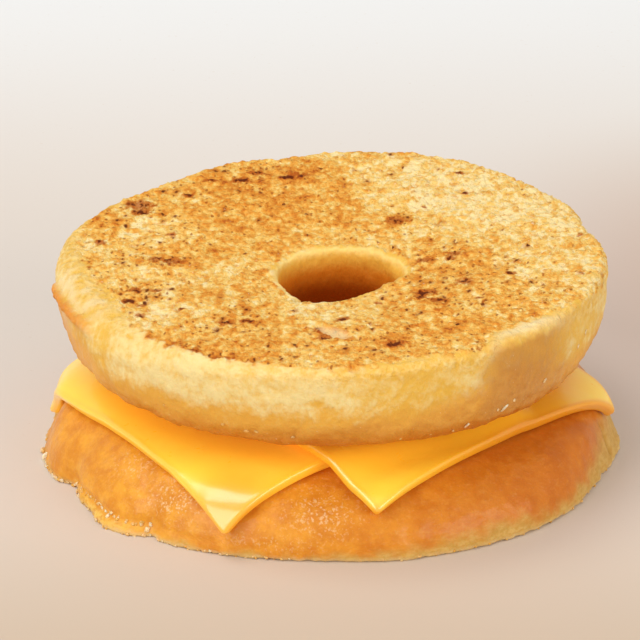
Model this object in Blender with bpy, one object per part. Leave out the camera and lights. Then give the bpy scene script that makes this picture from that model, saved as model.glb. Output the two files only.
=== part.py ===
# A grilled cheese doughnut sandwich: a glazed ring doughnut cut in half, both halves turned
# inside out so that the griddled cut faces are outside, with two slices of cheese between them.
# Metres, +Z up. The origin is on the surface the sandwich lies on, below its middle.
# Seen from the side where the corners of the cheese hang down, +X is to the right and +Y is away.

import math

import bmesh
import bpy
import numpy as np
from mathutils import Matrix

# Doughnut ring, lower half: cut face down, glazed crown up.
# A half ring's fullness is how square its section is: 2 is an ellipse, and more has fuller shoulders.
LOWER_RADIUS = 0.0492
LOWER_HOLE = 0.0115
LOWER_HEIGHT = 0.0120
LOWER_RIM = 0.0008
LOWER_FULLNESS = 2.2
# The corners of the cheese press into its side: the angle round the ring, its spread in degrees, and the depth.
SIDE_DENTS = ((177, 9, -0.0024), (357, 13, -0.0012))
# Its shoulder is higher towards both ends, in the same three numbers.
HIGH_SHOULDERS = ((1, 9, 0.0009), (183, 12, 0.0021), (339, 18, 0.0023))
# The share of the height at which these are largest, and how fast they fade above and below it.
DENT_LEVEL = 0.35
SHOULDER_LEVEL = 0.60
FADE_OVER_HEIGHT = 5

# Doughnut ring, upper half: cut face up, glazed crown down.
UPPER_RADIUS = 0.0470
UPPER_HOLE = 0.0106
UPPER_TOP = 0.0349
UPPER_RIM = 0.0018
UPPER_HOLE_RIM = 0.0010
UPPER_FULLNESS = 3.6
UPPER_HOLE_SHIFT = (0.0013, -0.0048)
# Its cut is slanted, so it is thickest on the right, and it sinks towards the hole.
CUT_RISE_X = math.tan(math.radians(1.5))
CUT_RISE_Y = math.tan(math.radians(0.6))
CUT_DISH = 0.0016
# The back of its crown settles by this share of the cheese that is missing there, within this far of the slices.
SETTLE_SHARE = 0.7
SETTLE_WIDTH = 0.0120
SETTLE_FROM_Y = 0.0300
# Its edge is rolled over on the left: the angle round the ring, its spread in degrees, and the extra rounding.
ROLLED_EDGE = (206, 34, 0.0040)

# Cheese slices: thickness, rounding of the rim, and how far they sag over the doughnut's hole.
SLICE_THICKNESS = 0.0021
SLICE_EDGE = 0.0005
SLICE_SAG = 0.0008
SAG_RADIUS = 0.0150
# Each slice before it drapes over the ring: the flat place of its front corner, its turn in degrees, and its sides.
UNDER_SLICE = (-0.0179, -0.0484, 33.6, 0.0535, 0.0625)
OVER_SLICE = (0.0076, -0.0471, 45.0, 0.0600, 0.0585)
# The front corners curl up a little: by how much, and how far from the corner that starts.
CORNER_CURL = 0.0006
CORNER_REACH = 0.0130
# The over slice steps down this far past the edge of the under slice.
STEP_WIDTH = 0.0070

# Air between two pieces that touch, so that their solids don't overlap.
GAP = 0.00035
UPPER_CROWN = LOWER_HEIGHT + 2 * SLICE_THICKNESS + 3 * GAP
UPPER_HEIGHT = UPPER_TOP - UPPER_CROWN

# Swellings (and dents, negative) of an outline: the angle round the ring and its spread in degrees, and the depth.
LOWER_OUTLINE = (
    (358, 8, 0.0010),
    (340, 8, -0.0005),
    (315, 12, 0.0006),
    (266, 14, -0.0013),
    (232, 2.5, -0.0015),
    (223, 7, 0.0021),
    (204.5, 3.8, -0.0020),
    (192, 9, 0.0008),
    (128, 20, 0.0006),
    (88, 24, -0.0008),
)
# The lower outline's bumps die out towards the crown by this power.
OUTLINE_FADE = 1.5
UPPER_OUTLINE = (
    (14, 8, -0.0016),
    (38, 12, -0.0010),
    (63, 12, 0.0006),
    (100, 8, -0.0012),
    (130, 18, -0.0019),
    (168, 12, 0.0005),
    (194, 14, -0.0004),
    (300, 25, 0.0004),
    (352, 14, -0.0004),
    (356, 6, 0.0006),
)

# Facets: round the ring, across the cut face, round each rim, over the crown, and along a slice's side.
STEPS_ROUND = 72
STEPS_FACE = 4
STEPS_RIM = 2
STEPS_CROWN = 17
STEPS_SLICE = 20
SECTION_SAMPLES = 2000
SQUARE_EDGE = math.radians(60)


def bump(angle, centre, spread):
    """A smooth hump of height 1 at its centre. The angle is in radians, the other two are in degrees."""
    off = (math.degrees(angle) - centre + 180) % 360 - 180
    return math.exp(-((off / spread) ** 2))


def swelling(angle, bumps):
    """How far these bumps stand out together at this angle."""
    return sum(depth * bump(angle, centre, spread) for centre, spread, depth in bumps)


def crown(radius, hole, height, fullness):
    """The glazed surface's section from the outer edge of the cut, over the crown, to the hole: (r, h) pairs."""
    middle = (radius + hole) / 2
    reach = (radius - hole) / 2
    turns = np.linspace(0, math.pi, SECTION_SAMPLES)
    r = middle + reach * np.sign(np.cos(turns)) * np.abs(np.cos(turns)) ** (2 / fullness)
    h = height * np.abs(np.sin(turns)) ** (2 / fullness)
    return r, h


def lengths(r, h):
    return np.concatenate([[0], np.cumsum(np.hypot(np.diff(r), np.diff(h)))])


def half_ring_section(radius, hole, height, fullness, outer_rim, inner_rim):
    """The closed section of a half ring, as (r, h) with h measured from the cut face."""
    crown_r, crown_h = crown(radius, hole, height, fullness)
    outer = crown_r > (radius + hole) / 2
    above = crown_h > np.where(outer, outer_rim, inner_rim)
    along = lengths(crown_r[above], crown_h[above])
    even = np.linspace(0, along[-1], STEPS_CROWN + 1)
    crown_r, crown_h = np.interp(even, along, crown_r[above]), np.interp(even, along, crown_h[above])
    quarter = np.linspace(0, math.pi / 2, STEPS_RIM + 1)[:-1]
    outer_r = crown_r[0] - outer_rim + outer_rim * np.sin(quarter)
    outer_h = outer_rim * (1 - np.cos(quarter))
    inner_r = crown_r[-1] + inner_rim - inner_rim * np.sin(quarter[::-1])
    inner_h = inner_rim * (1 - np.cos(quarter[::-1]))
    face_r = np.linspace(inner_r[-1], outer_r[0], STEPS_FACE + 1)[1:-1]
    r = np.concatenate([face_r, outer_r, crown_r, inner_r])
    h = np.concatenate([np.zeros(len(face_r)), outer_h, crown_h, inner_h])
    return r, h


def make_object(name, mesh_builder, material, location, turn=0.0):
    """An object with its own place and turn, whose points were built where they lie in the sandwich."""
    made_at = Matrix.Translation(location) @ Matrix.Rotation(math.radians(turn), 4, "Z")
    mesh = bpy.data.meshes.new(name)
    mesh_builder.transform(made_at.inverted())
    bmesh.ops.recalc_face_normals(mesh_builder, faces=mesh_builder.faces[:])
    mesh_builder.to_mesh(mesh)
    mesh_builder.free()
    mesh.shade_smooth()
    mesh.materials.append(material)
    made = bpy.data.objects.new(name, mesh)
    made.location = location
    made.rotation_euler.z = math.radians(turn)
    made.parent = sandwich
    bpy.context.scene.collection.objects.link(made)
    return made


def half_ring(name, section_at, place, material, level):
    """Sweeps a section round the ring. place(angle, r, h) gives a section point's place in space."""
    builder = bmesh.new()
    loops = []
    for step in range(STEPS_ROUND):
        angle = 2 * math.pi * step / STEPS_ROUND
        loops.append([builder.verts.new(place(angle, r, h)) for r, h in zip(*section_at(angle))])
    for loop, after in zip(loops, loops[1:] + loops[:1]):
        for i in range(len(loop)):
            builder.faces.new((loop[i - 1], loop[i], after[i], after[i - 1]))
    return make_object(name, builder, material, (0, 0, level))


def lower_section(angle):
    return half_ring_section(LOWER_RADIUS, LOWER_HOLE, LOWER_HEIGHT, LOWER_FULLNESS, LOWER_RIM, LOWER_RIM)


def over_height(high, level):
    """A hump over the ring's height: 1 at this level, and 0 at the cut and at the crown."""
    below, above = level * FADE_OVER_HEIGHT, (1 - level) * FADE_OVER_HEIGHT
    return (high / level) ** below * ((1 - high) / (1 - level)) ** above


def shape_lower(angle, r, h):
    """Adds the outline's bumps, and those of the side and the shoulder, which die out towards the hole."""
    high = min(h / LOWER_HEIGHT, 1)
    outwards = (r - LOWER_HOLE) / (LOWER_RADIUS - LOWER_HOLE)
    r += outwards * swelling(angle, LOWER_OUTLINE) * (1 - high) ** OUTLINE_FADE
    r += outwards * swelling(angle, SIDE_DENTS) * over_height(high, DENT_LEVEL)
    h += outwards * swelling(angle, HIGH_SHOULDERS) * over_height(high, SHOULDER_LEVEL)
    return r, h


def place_lower(angle, r, h):
    r, h = shape_lower(angle, r, h)
    return r * math.cos(angle), r * math.sin(angle), h


def flat_place(square, u, v):
    """The flat place of the point u along one side of the slice and v along the other."""
    corner_x, corner_y, turn = square[:3]
    c, s = math.cos(math.radians(turn)), math.sin(math.radians(turn))
    return corner_x + u * c - v * s, corner_y + u * s + v * c


def outside_square(flat_x, flat_y, square):
    """Distance from a flat point to a slice's outline, zero within it."""
    corner_x, corner_y, turn, width, length = square
    c, s = math.cos(math.radians(turn)), math.sin(math.radians(turn))
    u = (flat_x - corner_x) * c + (flat_y - corner_y) * s
    v = (flat_y - corner_y) * c - (flat_x - corner_x) * s
    return math.hypot(max(-u, u - width, 0), max(-v, v - length, 0))


def ease(t):
    t = min(max(t, 0), 1)
    return t * t * (3 - 2 * t)


def upper_section(angle):
    """h goes from 0 at the cut face to 1 at the crown, because the half isn't equally thick all round."""
    centre, spread, extra = ROLLED_EDGE
    rim = UPPER_RIM + extra * bump(angle, centre, spread)
    r, h = half_ring_section(UPPER_RADIUS, UPPER_HOLE, UPPER_HEIGHT, UPPER_FULLNESS, rim, UPPER_HOLE_RIM)
    return r, h / UPPER_HEIGHT


def crown_level(x, y):
    """The height of the upper half's underside, which settles at the back where there is no cheese."""
    missing = sum(ease(outside_square(x, y, square) / SETTLE_WIDTH) for square in (UNDER_SLICE, OVER_SLICE))
    return UPPER_CROWN - SETTLE_SHARE * (SLICE_THICKNESS + GAP) * missing * ease(y / SETTLE_FROM_Y)


def place_upper(angle, r, h):
    r += (r - UPPER_HOLE) / (UPPER_RADIUS - UPPER_HOLE) * swelling(angle, UPPER_OUTLINE)
    inward = max(0.0, (UPPER_RADIUS - r) / (UPPER_RADIUS - UPPER_HOLE))
    x = r * math.cos(angle) + UPPER_HOLE_SHIFT[0] * inward
    y = r * math.sin(angle) + UPPER_HOLE_SHIFT[1] * inward
    cut = UPPER_TOP + CUT_RISE_X * x + CUT_RISE_Y * y - CUT_DISH * inward * inward
    return x, y, cut - h * (cut - crown_level(x, y))


class Drape:
    """Lays flat cheese over the lower half: flat distance from the ring's axis becomes length along its section."""

    def __init__(self):
        r, h = crown(LOWER_RADIUS, LOWER_HOLE, LOWER_HEIGHT, LOWER_FULLNESS)
        outer = slice(int(np.argmax(h)), None, -1)
        self.r = np.concatenate([[0], r[outer]])
        self.h = np.concatenate([[LOWER_HEIGHT], h[outer]])
        self.s = lengths(self.r, self.h)
        slope_r = np.gradient(self.r, self.s)
        slope_h = np.gradient(self.h, self.s)
        self.normal_r, self.normal_h = -slope_h, slope_r

    def point(self, flat_x, flat_y, above):
        """The place of a point of the slice that is this far above the doughnut's skin."""
        far = math.hypot(flat_x, flat_y)
        angle = math.atan2(flat_y, flat_x)
        r = np.interp(far, self.s, self.r)
        h = np.interp(far, self.s, self.h)
        if r > LOWER_HOLE:
            r, h = shape_lower(angle, r, h)
        r += above * np.interp(far, self.s, self.normal_r)
        h += above * np.interp(far, self.s, self.normal_h)
        h -= SLICE_SAG * max(0.0, 1 - (far / SAG_RADIUS) ** 2) ** 2
        return r * math.cos(angle), r * math.sin(angle), h


def curl(flat_x, flat_y, square):
    """How far the slice stands off the doughnut near its front corner."""
    away = math.hypot(flat_x - square[0], flat_y - square[1])
    return CORNER_CURL * ease(1 - away / CORNER_REACH)


def under_lift(flat_x, flat_y):
    return GAP + curl(flat_x, flat_y, UNDER_SLICE)


def over_lift(flat_x, flat_y):
    """The over slice lies on the under slice, and steps down to the doughnut past its edge."""
    past = (outside_square(flat_x, flat_y, UNDER_SLICE) - 2 * GAP) / STEP_WIDTH
    return GAP + (SLICE_THICKNESS + GAP) * (1 - ease(past)) + curl(flat_x, flat_y, OVER_SLICE)


def slice_of_cheese(name, square, lift, drape, material):
    """A flat slab with rounded edges, then each of its points laid on the doughnut."""
    width, length = square[3:]
    builder = bmesh.new()
    bmesh.ops.create_grid(builder, x_segments=STEPS_SLICE, y_segments=STEPS_SLICE, size=0.5)
    for vertex in builder.verts:
        vertex.co.x = (vertex.co.x + 0.5) * width
        vertex.co.y = (vertex.co.y + 0.5) * length
    raised = bmesh.ops.extrude_face_region(builder, geom=builder.faces[:], use_keep_orig=True)
    for vertex in raised["geom"]:
        if isinstance(vertex, bmesh.types.BMVert):
            vertex.co.z += SLICE_THICKNESS
    bmesh.ops.recalc_face_normals(builder, faces=builder.faces[:])
    rim = [e for e in builder.edges if e.calc_face_angle() > SQUARE_EDGE]
    bmesh.ops.bevel(builder, geom=rim, offset=SLICE_EDGE, segments=1, profile=0.5, affect="EDGES")
    for vertex in builder.verts:
        u, v, w = vertex.co
        flat_x, flat_y = flat_place(square, u, v)
        vertex.co = drape.point(flat_x, flat_y, w + lift(flat_x, flat_y))
    middle_x, middle_y = flat_place(square, width / 2, length / 2)
    return make_object(name, builder, material, (middle_x, middle_y, LOWER_HEIGHT), square[2])


def food_material(name, colour, roughness):
    made = bpy.data.materials.new(name)
    made.use_nodes = True
    shader = made.node_tree.nodes["Principled BSDF"]
    shader.inputs["Base Color"].default_value = (*colour, 1)
    shader.inputs["Roughness"].default_value = roughness
    shader.inputs["Metallic"].default_value = 0.0
    made.diffuse_color = (*colour, 1)
    return made


for left_over in list(bpy.data.objects):
    bpy.data.objects.remove(left_over)

sandwich = bpy.data.objects.new("sandwich", None)
bpy.context.scene.collection.objects.link(sandwich)

glazed_dough = food_material("glazed_dough", (0.78, 0.33, 0.05), 0.35)
griddled_dough = food_material("griddled_dough", (0.83, 0.50, 0.17), 0.60)
cheese = food_material("cheese", (0.96, 0.43, 0.025), 0.30)

half_ring("lower_half", lower_section, place_lower, glazed_dough, 0)

drape_over_ring = Drape()
slice_of_cheese("under_slice", UNDER_SLICE, under_lift, drape_over_ring, cheese)
slice_of_cheese("over_slice", OVER_SLICE, over_lift, drape_over_ring, cheese)

half_ring("upper_half", upper_section, place_upper, griddled_dough, UPPER_CROWN)
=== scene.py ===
import math

import bmesh
import bpy
import numpy as np
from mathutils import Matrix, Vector, noise


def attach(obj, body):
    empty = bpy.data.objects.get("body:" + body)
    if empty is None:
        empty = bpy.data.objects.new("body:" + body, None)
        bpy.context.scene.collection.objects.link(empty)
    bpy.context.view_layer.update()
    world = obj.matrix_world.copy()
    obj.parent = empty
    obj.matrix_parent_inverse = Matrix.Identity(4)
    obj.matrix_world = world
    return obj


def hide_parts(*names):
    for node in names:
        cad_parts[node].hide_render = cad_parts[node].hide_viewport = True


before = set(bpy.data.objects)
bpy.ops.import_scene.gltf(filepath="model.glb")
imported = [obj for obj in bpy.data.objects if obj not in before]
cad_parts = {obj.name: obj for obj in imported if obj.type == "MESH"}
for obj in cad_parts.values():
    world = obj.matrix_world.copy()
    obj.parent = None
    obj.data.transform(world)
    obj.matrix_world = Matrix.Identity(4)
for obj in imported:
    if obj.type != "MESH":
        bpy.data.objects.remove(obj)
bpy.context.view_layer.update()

mm = 0.001

# The doughnut's halves. Fullness is how square a section is, and rims are the rounded edges of the cut.
lowerRing = {
    "radius": 49.2 * mm,
    "hole": 11.5 * mm,
    "height": 12.0 * mm,
    "outerRim": 0.8 * mm,
    "innerRim": 0.8 * mm,
    "fullness": 2.2,
    # swellings of the outline: angle round the ring, spread in degrees, depth in mm
    "outline": [(358, 8, 1.0), (340, 8, -0.5), (315, 12, 0.6), (266, 14, -1.3), (232, 2.5, -1.5),
                (223, 7, 2.1), (204.5, 3.8, -2.0), (192, 9, 0.8), (128, 20, 0.6), (88, 24, -0.8)],
    "outlineFade": 1.5,
    # the cheese presses into the side, and the shoulder is higher at both ends: angle, spread, depth in mm
    "sideDents": [(177, 9, -2.4), (357, 13, -1.2)],
    "highShoulders": [(1, 9, 0.9), (183, 12, 2.1), (339, 18, 2.3)],
    # the share of the height where these are largest, and how fast they fade from there
    "dentLevel": 0.35,
    "shoulderLevel": 0.60,
    "fadeOverHeight": 5,
}
upperRing = {
    "radius": 47.0 * mm,
    "hole": 10.6 * mm,
    "top": 34.9 * mm,
    "outerRim": 1.8 * mm,
    "innerRim": 1.0 * mm,
    "fullness": 3.6,
    # the hole sits off the middle; the cut face rises to the right and to the back, and is dished
    "holeShift": (1.3 * mm, -4.8 * mm),
    "cutRise": (math.tan(math.radians(1.5)), math.tan(math.radians(0.6))),
    "cutDish": 1.6 * mm,
    # at the back, past the slices, it settles by this share of a slice, over this width and distance
    "settleShare": 0.7,
    "settleWidth": 12.0 * mm,
    "settleFrom": 30.0 * mm,
    # where the edge is rolled over: angle, spread, and how much larger its rim is in mm
    "rolledEdge": (206, 34, 4.0),
    "outline": [(14, 8, -1.6), (38, 12, -1.0), (63, 12, 0.6), (100, 8, -1.2), (130, 18, -1.9),
                (168, 12, 0.5), (194, 14, -0.4), (300, 25, 0.4), (352, 14, -0.4), (356, 6, 0.6)],
}
# The slices: the flat place of the front corner, the turn in degrees, and the two sides.
cheeseSlices = {
    "thickness": 2.1 * mm,
    "edge": 0.65 * mm,
    "cornerRound": 0.9 * mm,
    # the middle sags into the lower hole
    "sag": 0.8 * mm,
    "sagRadius": 15.0 * mm,
    "under": (-17.9 * mm, -48.4 * mm, 33.6, 53.5 * mm, 62.5 * mm),
    "over": (7.6 * mm, -47.1 * mm, 45.0, 60.0 * mm, 58.5 * mm),
    # the front corners curl up by this much, from this far away
    "curl": 0.6 * mm,
    "curlReach": 13.0 * mm,
    "stepWidth": 7.0 * mm,
    "gap": 0.35 * mm,
    "segments": 110,
    "rimRows": 5,
    # soft waves: depth, then size, detail and shift of their noise
    "waves": [(0.060 * mm, 6.0 * mm, 2, 3.0), (0.025 * mm, 2.0 * mm, 1, 8.0)],
}
upperCrown = lowerRing["height"] + 2 * cheeseSlices["thickness"] + 3 * cheeseSlices["gap"]
upperRing["height"] = upperRing["top"] - upperCrown


def offBy(angle, centre):
    # the way round the ring from a place on it, in degrees
    return (np.degrees(angle) - centre + 180) % 360 - 180


def hill(value, centre=0.0, spread=1.0):
    # 1 at the centre, and falling away smoothly on both sides
    return np.exp(-(((value - centre) / spread) ** 2))


def bump(angle, centre, spread, strength=1.0):
    return strength * hill(offBy(angle, centre), 0.0, spread)


def swelling(angle, bumps):
    return sum(depth * mm * bump(angle, centre, spread) for centre, spread, depth in bumps)


def ease(t):
    t = np.clip(t, 0, 1)
    return t * t * (3 - 2 * t)


def rise(value, start, width):
    # 0 up to the start, and 1 from this width past it on
    return ease((value - start) / width)


def over(amount, softness):
    # 0 where the amount is below zero and 1 above it, eased over this softness
    return ease(amount / softness + 0.5)


def patches(x, y, table):
    # round patches, strongest in the middle: x, y, radius and strength of each
    return np.max([strength * hill(np.hypot(x - patchX, y - patchY) / radius)
                   for patchX, patchY, radius, strength in table], axis=0)


def turned(x, y, degrees):
    # a place as it is seen from axes that are turned by this much
    c, s = math.cos(math.radians(degrees)), math.sin(math.radians(degrees))
    return x * c + y * s, y * c - x * s


def roundTable(angle, table):
    # a value that changes round the ring, from (degrees, value) pairs
    return np.interp(np.degrees(angle) % 360, [a for a, _ in table], [v for _, v in table], period=360)


def pathLengths(r, h):
    return np.concatenate([[0], np.cumsum(np.hypot(np.diff(r), np.diff(h)))])


def crownCurve(ring, samples=1500):
    middle, reach = (ring["radius"] + ring["hole"]) / 2, (ring["radius"] - ring["hole"]) / 2
    turns = np.linspace(0, math.pi, samples)
    power = 2 / ring["fullness"]
    r = middle + reach * np.sign(np.cos(turns)) * np.abs(np.cos(turns)) ** power
    return r, ring["height"] * np.abs(np.sin(turns)) ** power


def ringSection(ring, outerRim, rows):
    # from the hole's edge over the cut face, round the outer rim, over the crown and up the hole's wall;
    # beside the section it gives the way past the outer end of the face and past its inner end
    crownR, crownH = crownCurve(ring)
    outer = crownR > (ring["radius"] + ring["hole"]) / 2
    clear = crownH > np.where(outer, outerRim, ring["innerRim"])
    crownR, crownH = crownR[clear], crownH[clear]
    along = pathLengths(crownR, crownH)
    shares = [np.linspace(a, b, n, endpoint=False) for a, b, n in rows["crown"]]
    stops = np.concatenate([*shares, [1.0]]) * along[-1]
    sideR, sideH = np.interp(stops, along, crownR), np.interp(stops, along, crownH)
    quarter = np.linspace(0, math.pi / 2, rows["outerRim"] + 1)[:-1]
    rimR, rimH = sideR[0] - outerRim + outerRim * np.sin(quarter), outerRim * (1 - np.cos(quarter))
    inner = ring["innerRim"]
    turn = np.linspace(math.pi / 2, 0, rows["innerRim"] + 1)[1:]
    holeR, holeH = sideR[-1] + inner - inner * np.sin(turn), inner * (1 - np.cos(turn))
    faceR = np.concatenate([
        np.linspace(holeR[-1], rows["coarseTo"], rows["coarseFace"] + 1)[1:],
        np.linspace(rows["coarseTo"], rimR[0], rows["face"] + 1)[1:-1],
    ])
    r = np.concatenate([faceR, rimR, sideR, holeR])
    h = np.concatenate([np.zeros(len(faceR)), rimH, sideH, holeH])
    way = pathLengths(r, h)
    pastOuter = way - way[len(faceR)]
    pastInner = way[-1] - way
    pastInner[: len(faceR) + 1] = holeR[-1] - r[: len(faceR) + 1]
    return r, h, pastOuter, pastInner


def ringGrid(ring, sectionAt, place, rows):
    # all points of a half ring: arrays with the angle along the first axis and the section along the second
    steps = rows["round"]
    angles = 2 * math.pi * np.arange(steps) / steps
    sections = np.array([sectionAt(angle) for angle in angles])
    angle = np.repeat(angles[:, None], sections.shape[2], axis=1)
    points = place(angle, sections[:, 0], sections[:, 1])
    return {"angle": angle, "points": points, "pastOuter": sections[:, 2], "pastInner": sections[:, 3]}


def gridNormals(points):
    acrossRing = np.roll(points, -1, 0) - np.roll(points, 1, 0)
    alongSection = np.roll(points, -1, 1) - np.roll(points, 1, 1)
    normals = np.cross(alongSection, acrossRing)
    normals /= np.linalg.norm(normals, axis=2, keepdims=True) + 1e-12
    return normals


def fineRows(rows, rowCount):
    # the last row of the visible side, and for each row if it keeps every point
    last = rows["coarseFace"] + rows["face"] - 1 + rows["outerRim"] + rows["crown"][0][2]
    return last, [rows["fineFrom"] <= j <= last for j in range(rowCount)]


def gridFaces(fine, steps):
    # quads between rows; where a fine row meets a coarse one, which has every second point, three triangles
    rowCount = len(fine)
    index = np.arange(steps * rowCount).reshape(steps, rowCount)
    faces = []
    for j in range(rowCount):
        k = (j + 1) % rowCount
        step = 1 if fine[j] and fine[k] else 2
        i, m, n = (np.roll(index, -shift, 0)[::step] for shift in (0, 1, step))
        if fine[j] == fine[k]:
            shapes = [[i[:, j], i[:, k], n[:, k], n[:, j]]]
        elif fine[j]:
            shapes = [[i[:, j], i[:, k], m[:, j]], [m[:, j], i[:, k], n[:, k]], [m[:, j], n[:, k], n[:, j]]]
        else:
            shapes = [[i[:, j], i[:, k], m[:, k]], [i[:, j], m[:, k], n[:, j]], [n[:, j], m[:, k], n[:, k]]]
        for corners in shapes:
            faces += np.stack(corners, 1).tolist()
    return faces


def usedPoints(points, faces, marks):
    # drops the points that no face uses
    used = np.unique(np.concatenate([np.array(f) for f in faces]))
    renumber = np.full(len(points), -1)
    renumber[used] = np.arange(len(used))
    usedMarks = {name: mark[used] for name, mark in marks.items()}
    return points[used], [renumber[f].tolist() for f in faces], usedMarks


def lumps(points, size, detail=2, shift=0.0, flatness=1.0):
    # smooth noise about 0, with lumps of about this size
    scaled = points * np.array([1.0, 1.0, flatness]) / size + shift
    return np.array([noise.fractal(p, 1.0, 2.0, detail) for p in scaled])


def pits(points, size, shift=0.0):
    # 1 in the middle of a cell and 0 at its edge, times a strength that each cell has of its own
    found = np.empty(len(points))
    for i, p in enumerate(points / size + shift):
        distances, centres = noise.voronoi(p)
        strength = 0.5 + 0.5 * noise.noise(centres[0] * 7.3)
        found[i] = max(0.0, 1 - distances[0] / 0.62) * max(0.0, strength * 1.8 - 0.35)
    return found


def makePiece(name, points, faces, marks, material):
    mesh = bpy.data.meshes.new(name)
    mesh.from_pydata(points.tolist(), [], faces)
    for mark, values in marks.items():
        layer = mesh.attributes.new(mark, "FLOAT", "POINT")
        layer.data.foreach_set("value", np.asarray(values, dtype=np.float32))
    mesh.validate()
    mesh.shade_smooth()
    mesh.materials.append(material)
    piece = bpy.data.objects.new(name, mesh)
    bpy.context.scene.collection.objects.link(piece)
    return piece


# Shader tools


def tint(code):
    # a colour such as "F3D38B", as the shader wants it
    parts = [int(code[i:i + 2], 16) / 255 for i in (0, 2, 4)]
    return tuple(p / 12.92 if p <= 0.04045 else ((p + 0.055) / 1.055) ** 2.4 for p in parts) + (1.0,)


class Wire:
    # one socket of a shader tree, so that its maths can be written as Python
    def __init__(self, paint, socket):
        self.paint = paint
        self.socket = socket

    def maths(self, operation, first, second):
        plain = all(x.socket.type == "VALUE" for x in (first, second) if isinstance(x, Wire))
        kind = "ShaderNodeMath" if plain else "ShaderNodeVectorMath"
        return self.paint.node(kind, {"operation": operation}, {0: first, 1: second})

    def __add__(self, other):
        return self.maths("ADD", self, other)

    def __radd__(self, other):
        return self.maths("ADD", other, self)

    def __sub__(self, other):
        return self.maths("SUBTRACT", self, other)

    def __rsub__(self, other):
        return self.maths("SUBTRACT", other, self)

    def __mul__(self, other):
        return self.maths("MULTIPLY", self, other)

    def __rmul__(self, other):
        return self.maths("MULTIPLY", other, self)

    def __truediv__(self, other):
        return self.maths("DIVIDE", self, other)

    def __rtruediv__(self, other):
        return self.maths("DIVIDE", other, self)

    def __pow__(self, other):
        return self.maths("POWER", self, other)


class Paint:
    # one material and its nodes
    def __init__(self, name, constants):
        self.material = bpy.data.materials.new(name)
        self.material.use_nodes = True
        self.tree = self.material.node_tree
        self.shader = self.tree.nodes["Principled BSDF"]
        for socket, value in constants.items():
            self.shader.inputs[socket].default_value = value
        coordinates = self.node("ShaderNodeTexCoord", {}, {}, "Object")
        inMm = (1 / mm, 1 / mm, 1 / mm)
        self.place = self.node("ShaderNodeMapping", {}, {"Vector": coordinates, "Scale": inMm})

    def pick(self, sockets, key):
        if isinstance(key, int):
            return sockets[key]
        return next(s for s in sockets if key in (s.identifier, s.name))

    def node(self, kind, settings, values, output=0):
        made = self.tree.nodes.new(kind)
        for name, value in settings.items():
            setattr(made, name, value)
        for key, value in values.items():
            self.plug(self.pick(made.inputs, key), value)
        return Wire(self, self.pick(made.outputs, output))

    def plug(self, socket, value):
        if isinstance(value, Wire):
            self.tree.links.new(value.socket, socket)
        elif isinstance(value, str):
            socket.default_value = tint(value)
        elif socket.type == "VECTOR" and not isinstance(value, tuple):
            socket.default_value = (value, value, value)
        else:
            socket.default_value = value

    def mark(self, name):
        return self.node("ShaderNodeAttribute", {"attribute_name": name}, {}, "Fac")

    def axis(self, name):
        return self.node("ShaderNodeSeparateXYZ", {}, {"Vector": self.place}, name)

    def channel(self, colour, name):
        return self.node("ShaderNodeSeparateColor", {}, {"Color": colour}, name)

    def clouds(self, size, detail=2.0, roughness=0.5, stretch=(1, 1, 1), shift=0.0, twist=0.0):
        # noise from 0 to 1, with lumps of about this size in mm
        place = self.node("ShaderNodeMapping", {}, {
            "Vector": self.place,
            "Location": (shift, shift, shift),
            "Scale": tuple(1 / (size * s) for s in stretch),
        })
        return self.node("ShaderNodeTexNoise", {"noise_dimensions": "3D"}, {
            "Vector": place, "Scale": 1.0, "Detail": detail, "Roughness": roughness, "Distortion": twist,
        })

    def cells(self, size, long, shift, output):
        # cells seen from above, longer in Y than in X
        place = self.node("ShaderNodeMapping", {}, {
            "Vector": self.place,
            "Location": (shift, shift, 0),
            "Scale": (1 / size, 1 / (size * long), 1),
        })
        settings = {"voronoi_dimensions": "2D"}
        return self.node("ShaderNodeTexVoronoi", settings, {"Vector": place, "Scale": 1.0}, output)

    def band(self, value, low, high):
        # 0 below low and 1 above high, eased between them
        return self.node("ShaderNodeMapRange", {"interpolation_type": "SMOOTHSTEP"},
                         {"Value": value, "From Min": low, "From Max": high})

    def blend(self, amount, first, second):
        return self.node("ShaderNodeMix", {"data_type": "RGBA", "clamp_result": True},
                         {"Factor_Float": amount, "A_Color": first, "B_Color": second}, "Result_Color")

    def shades(self, value, first, *steps):
        # the first colour, and as the value grows others take over, each between two values
        colour = first
        for low, high, shade in steps:
            colour = self.blend(self.band(value, low, high), colour, shade)
        return colour

    def lay(self, colour, amount, layer, value=None):
        # a layer over a colour: its strength at most, and its shades
        strength, *shades = layer
        return self.blend(amount * strength, colour, self.shades(value, *shades))

    def most(self, first, second):
        return self.node("ShaderNodeMath", {"operation": "MAXIMUM"}, {0: first, 1: second})

    def finish(self, colour, roughness, height, distance, strength=1.0, coat=None):
        self.plug(self.shader.inputs["Base Color"], colour)
        self.plug(self.shader.inputs["Roughness"], roughness)
        if coat is not None:
            self.plug(self.shader.inputs["Coat Weight"], coat)
        values = {"Height": height, "Distance": distance, "Strength": strength}
        self.plug(self.shader.inputs["Normal"], self.node("ShaderNodeBump", {}, values))
        return self.material


# The upper half: griddled crumb on top, pale dough below it, glazed skin lower down

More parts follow.
